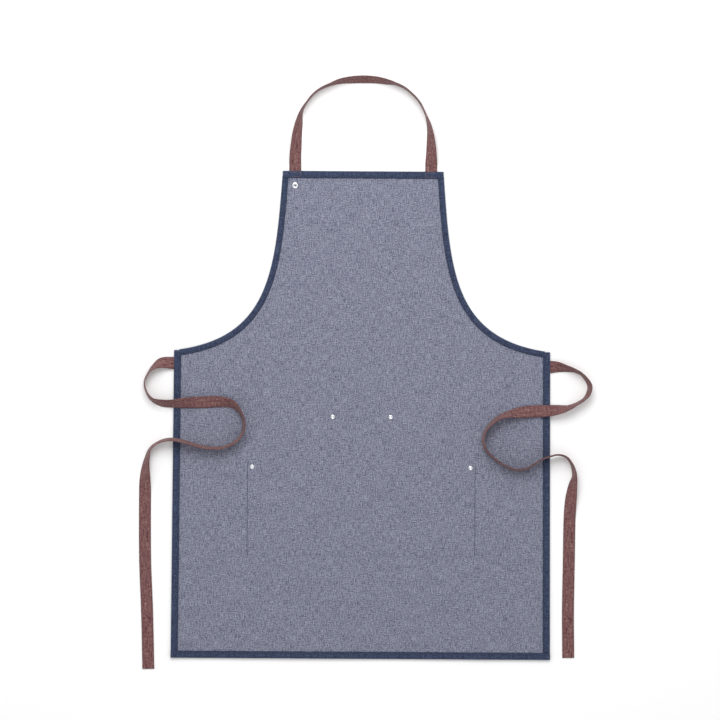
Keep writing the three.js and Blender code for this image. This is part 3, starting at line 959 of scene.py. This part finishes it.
# %% [markdown]
# ## The patch pocket
#
# The pocket is on the front, under the body as the apron lies, and is open along its two slanted
# sides. Only its stitches and rivets show through to the wearer's side. It is a six-sided cut of
# denim, right side out, so its rows run from the bottom edge up to the narrow top.

# %% Pocket cloth
pocket_low, pocket_high = (Vector(c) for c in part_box("pocket_panel"))
POCKET_HALF = pocket_high.x
POCKET_TOP_HALF = 0.061
POCKET_SIDE_DROP = 0.538
POCKET_SIDE_TOP = TOP_Y - POCKET_SIDE_DROP
POCKET_COLUMNS = 70
POCKET_ROWS = 54
POCKET_CLOTH = CLOTH * 0.9


def pocket_half(y):
    """Half the pocket's width at a height. It narrows along the slanted openings."""
    rise = max((y - POCKET_SIDE_TOP) / (pocket_high.y - POCKET_SIDE_TOP), 0)
    return POCKET_HALF + (POCKET_TOP_HALF - POCKET_HALF) * rise


def pocket_place(u, v):
    """A point of the pocket, which follows the body's relief."""
    y = pocket_low.y + (pocket_high.y - pocket_low.y) * v
    x = (2 * u - 1) * pocket_half(y)
    height = (pocket_low.z + pocket_high.z) / 2 + lie(x, y)
    return Vector((x, y, height)), (x, y), 0.0


pocket = woven(
    "denim_pocket", POCKET_COLUMNS, POCKET_ROWS, pocket_place, POCKET_CLOTH, [denim_front]
)
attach(pocket, "apron")
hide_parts("pocket_panel")

# %% [markdown]
# ## Stitches
#
# A stitch is a short, fat lozenge of thread that sinks into the cloth at both ends. There are well
# over a thousand, so each is a sphere of a few faces, drawn out along its seam, and each seam is
# one mesh.

# %% Seams
STITCH_PITCH = 0.0031
STITCH_LENGTH = 0.0023
THREAD = 0.00055


def seam(name, spots, material, length=STITCH_LENGTH, thread=THREAD):
    """Stitches at spots, each a (middle point, way along), stamped from one stitch."""
    bm = bmesh.new()
    bmesh.ops.create_uvsphere(bm, u_segments=6, v_segments=4, radius=1)
    bmesh.ops.scale(bm, vec=(length / 2, thread / 2, thread / 2), verts=bm.verts)
    stitch = bpy.data.meshes.new("stitch")
    bm.to_mesh(stitch)
    bm.clear()
    for middle, along in spots:
        place = Matrix.Translation(middle) @ along.to_track_quat("X", "Z").to_matrix().to_4x4()
        stitch.transform(place)
        bm.from_mesh(stitch)
        stitch.transform(place.inverted())
    bpy.data.meshes.remove(stitch)
    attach(finished(name, bm, [material]), "apron")
    print(name, len(spots), "stitches")


def spots_between(start, end, height, pitch=STITCH_PITCH):
    """Even spots on a straight seam, at a height over the table that follows the cloth."""
    along = end - start
    count = max(1, round(along.length / pitch))
    found = []
    for i in range(count):
        spot = start + along * ((i + 0.5) / count)
        spot.z = height + lie(spot.x, spot.y)
        found.append((spot, along.normalized()))
    return found


BINDING_TOP = 0.00415
BINDING_UNDER = 0.0001
for name, (line, width, raised_at, hidden) in sewn.items():
    total = line[-1][2]
    count = round(total / STITCH_PITCH)
    spots = []
    for i in range(count):
        run = total * (i + 0.5) / count
        if not (hidden < run < total - hidden):
            continue
        spot, inward, near = line[round(run / total * (len(line) - 1))]
        along = Vector((inward.y, -inward.x, 0))
        middle = spot + along * (run - near) + inward * (width - STITCH_IN)
        for height in (BINDING_TOP + raised_at(run), BINDING_UNDER):
            spots.append((Vector((middle.x, middle.y, height + lie(middle.x, middle.y))), along))
    seam("stitches_" + name, spots, navy_thread)

# %% [markdown]
# ## Pocket seams and bar tacks
#
# The pocket's side seams are sewn in navy thread drawn wider than real thread, so that its dark
# colour also paints the shade of the groove that the seam pulls into the cloth. Its bottom and top
# are sewn in thin pale thread that all but vanishes in the pale cloth. A bar tack is a small dense
# box of stitches. One holds each end of the neck strap, where a wearer's whole pull comes.

# %% Pocket seams and bar tacks
POCKET_SEAM_IN = 0.003
POCKET_TOP_SEAM_HALF = 0.052
# The side seams' 1.6 mm is wider than real thread: its navy paints the shade of the seam's groove as
# well as the thread.
POCKET_THREAD = {"sides_with_groove_shade": 0.0016, "ends": 0.0009}
PANEL_TOP = 0.0026
POCKET_UNDER = 0.0007
STRAP_X = 0.1255
TACK_HALF = 0.0105
TACK_ROWS = (0.0025, 0.0105)
TACK_COLUMN_INSET = 0.001
TACK_HEIGHT = BINDING_TOP + 0.0001
TACK_PITCH = 0.0016
TACK_LENGTH = 0.0017
TACK_THREAD = 0.0006

seam_x = POCKET_HALF - POCKET_SEAM_IN
seam_low = pocket_low.y + POCKET_SEAM_IN
seam_top = pocket_high.y - POCKET_SEAM_IN * 1.5
pocket_sides = [
    (flat_point(-seam_x, POCKET_SIDE_TOP), flat_point(-seam_x, seam_low)),
    (flat_point(seam_x, POCKET_SIDE_TOP), flat_point(seam_x, seam_low)),
]
pocket_ends = [
    (flat_point(-seam_x, seam_low), flat_point(seam_x, seam_low)),
    (flat_point(-POCKET_TOP_SEAM_HALF, seam_top), flat_point(POCKET_TOP_SEAM_HALF, seam_top)),
]
for label, seams, thread in (
    ("sides_with_groove_shade", pocket_sides, navy_thread), ("ends", pocket_ends, pale_thread),
):
    for height, face in ((PANEL_TOP, "back"), (POCKET_UNDER, "front")):
        spots = [s for start, end in seams for s in spots_between(start, end, height)]
        seam("stitches_pocket_" + label + "_" + face, spots, thread, thread=POCKET_THREAD[label])

for sign, side in ((-1, "left"), (1, "right")):
    middle = sign * STRAP_X
    tack_sides = (middle - TACK_HALF, middle + TACK_HALF)
    tack_top, tack_low = (TOP_Y - row for row in TACK_ROWS)
    lines = [(flat_point(tack_sides[0], y), flat_point(tack_sides[1], y)) for y in (tack_top, tack_low)]
    lines += [
        (flat_point(x, tack_top - TACK_COLUMN_INSET), flat_point(x, tack_low + TACK_COLUMN_INSET))
        for x in tack_sides
    ]
    spots = [s for start, end in lines for s in spots_between(start, end, TACK_HEIGHT, TACK_PITCH)]
    seam("bar_tack_" + side + "_strap", spots, brown_thread, TACK_LENGTH, TACK_THREAD)

# %% [markdown]
# ## Rivets and eyelet
#
# A rivet is a cap whose post goes through pocket and body into a ring that is pressed on it. The
# eyelet is a barrel with a rolled rim and a ring. All are round, so each is a profile that is spun
# about an upright axis. Lathing gives true roundness with few faces and a clean pole.

# %% Turned metal parts
ROUND_STEPS = 32
POST_RADIUS = 0.0016
RING_BORE = 0.0018
BARREL_BORE = 0.0021
WASHER_BORE = 0.0031
FLANGE_RADIUS = 0.0055


def turned(name, profile, centre, node, closed):
    """A profile of (radius, height) points spun about an upright axis."""
    bm = bmesh.new()
    verts = [bm.verts.new((radius, 0, height)) for radius, height in profile]
    edges = [bm.edges.new(pair) for pair in zip(verts, verts[1:])]
    if closed:
        edges.append(bm.edges.new((verts[-1], verts[0])))
    bmesh.ops.spin(bm, geom=[*verts, *edges], cent=(0, 0, 0), axis=(0, 0, 1),
                   angle=math.tau, steps=ROUND_STEPS, use_merge=True)
    bmesh.ops.remove_doubles(bm, verts=bm.verts, dist=1e-6)
    bmesh.ops.recalc_face_normals(bm, faces=bm.faces)
    bmesh.ops.translate(bm, vec=centre, verts=bm.verts)
    piece = finished(name, bm, [nickel])
    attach(piece, "apron")
    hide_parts(node)
    print(name, len(piece.data.polygons), "faces")


for place in ("left_outer", "left_inner", "right_inner", "right_outer"):
    low, high = (Vector(c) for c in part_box(place + "_rivet_back"))
    x, y = (low.x + high.x) / 2, (low.y + high.y) / 2
    centre = Vector((x, y, lie(x, y)))
    radius = (high.x - low.x) / 2
    turned(place + "_rivet_ring", [
        (RING_BORE, low.z + 0.0001), (radius * 0.86, low.z), (radius, low.z + 0.0003),
        (radius * 0.93, high.z - 0.0002), (radius * 0.72, high.z + 0.0001),
        (radius * 0.52, high.z - 0.0001), (RING_BORE, high.z - 0.0005),
    ], centre, place + "_rivet_back", closed=True)
    turned(place + "_rivet_cap_and_post", [
        (0, 0), (0.0030, 0.0001), (0.0044, 0.0003), (0.0046, 0.0006), (0.0040, 0.0007),
        (POST_RADIUS, 0.0007), (POST_RADIUS, high.z - 0.0006), (0.0011, high.z - 0.0004),
        (0.0005, high.z - 0.0007), (0, high.z - 0.0008),
    ], centre, place + "_rivet_cap", closed=False)

ring_low, ring_high = (Vector(c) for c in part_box("eyelet_ring"))
barrel_low, _ = (Vector(c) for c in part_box("eyelet_barrel"))
eye_x, eye_y = (ring_low.x + ring_high.x) / 2, (ring_low.y + ring_high.y) / 2
eye_centre = Vector((eye_x, eye_y, lie(eye_x, eye_y)))
turned("eyelet_washer", [
    (WASHER_BORE, ring_low.z), (0.0050, ring_low.z), (FLANGE_RADIUS, ring_low.z + 0.0003),
    (0.0051, ring_high.z - 0.0002), (0.0043, ring_high.z), (WASHER_BORE, ring_high.z - 0.0003),
], eye_centre, "eyelet_ring", closed=True)
turned("eyelet_rolled_barrel", [
    (BARREL_BORE, barrel_low.z + 0.0001), (0.0050, barrel_low.z),
    (FLANGE_RADIUS, barrel_low.z + 0.0003),
    (0.0052, barrel_low.z + 0.0006), (0.0028, barrel_low.z + 0.0006), (0.0028, ring_high.z - 0.0001),
    (0.0033, ring_high.z + 0.0002), (0.0028, ring_high.z + 0.0004), (0.0023, ring_high.z + 0.0002),
    (BARREL_BORE, ring_high.z - 0.0002),
], eye_centre, "eyelet_barrel", closed=True)

# %% [markdown]
# ## The table
#
# The table is a plain pale sheet, a hair below the cloth, so that nothing flickers where they meet.
# It runs on for metres, so that its edges stay out of low views. It is part of the stage, and not
# of the apron.

# %% Table
TABLE_HALF = 14
TABLE_DROP = 0.0002
TABLE_SHADE = 0.97

bm = bmesh.new()
bmesh.ops.create_grid(bm, x_segments=1, y_segments=1, size=TABLE_HALF)
bmesh.ops.translate(bm, vec=(0, 0, -TABLE_DROP), verts=bm.verts)
paper, _, paper_shader = base_material("pale_table", 0.8)
paper_shader.inputs["Base Color"].default_value = (TABLE_SHADE, TABLE_SHADE, TABLE_SHADE, 1)
table = finished("table", bm, [paper])
print("the table reaches", TABLE_HALF, "metres each way")
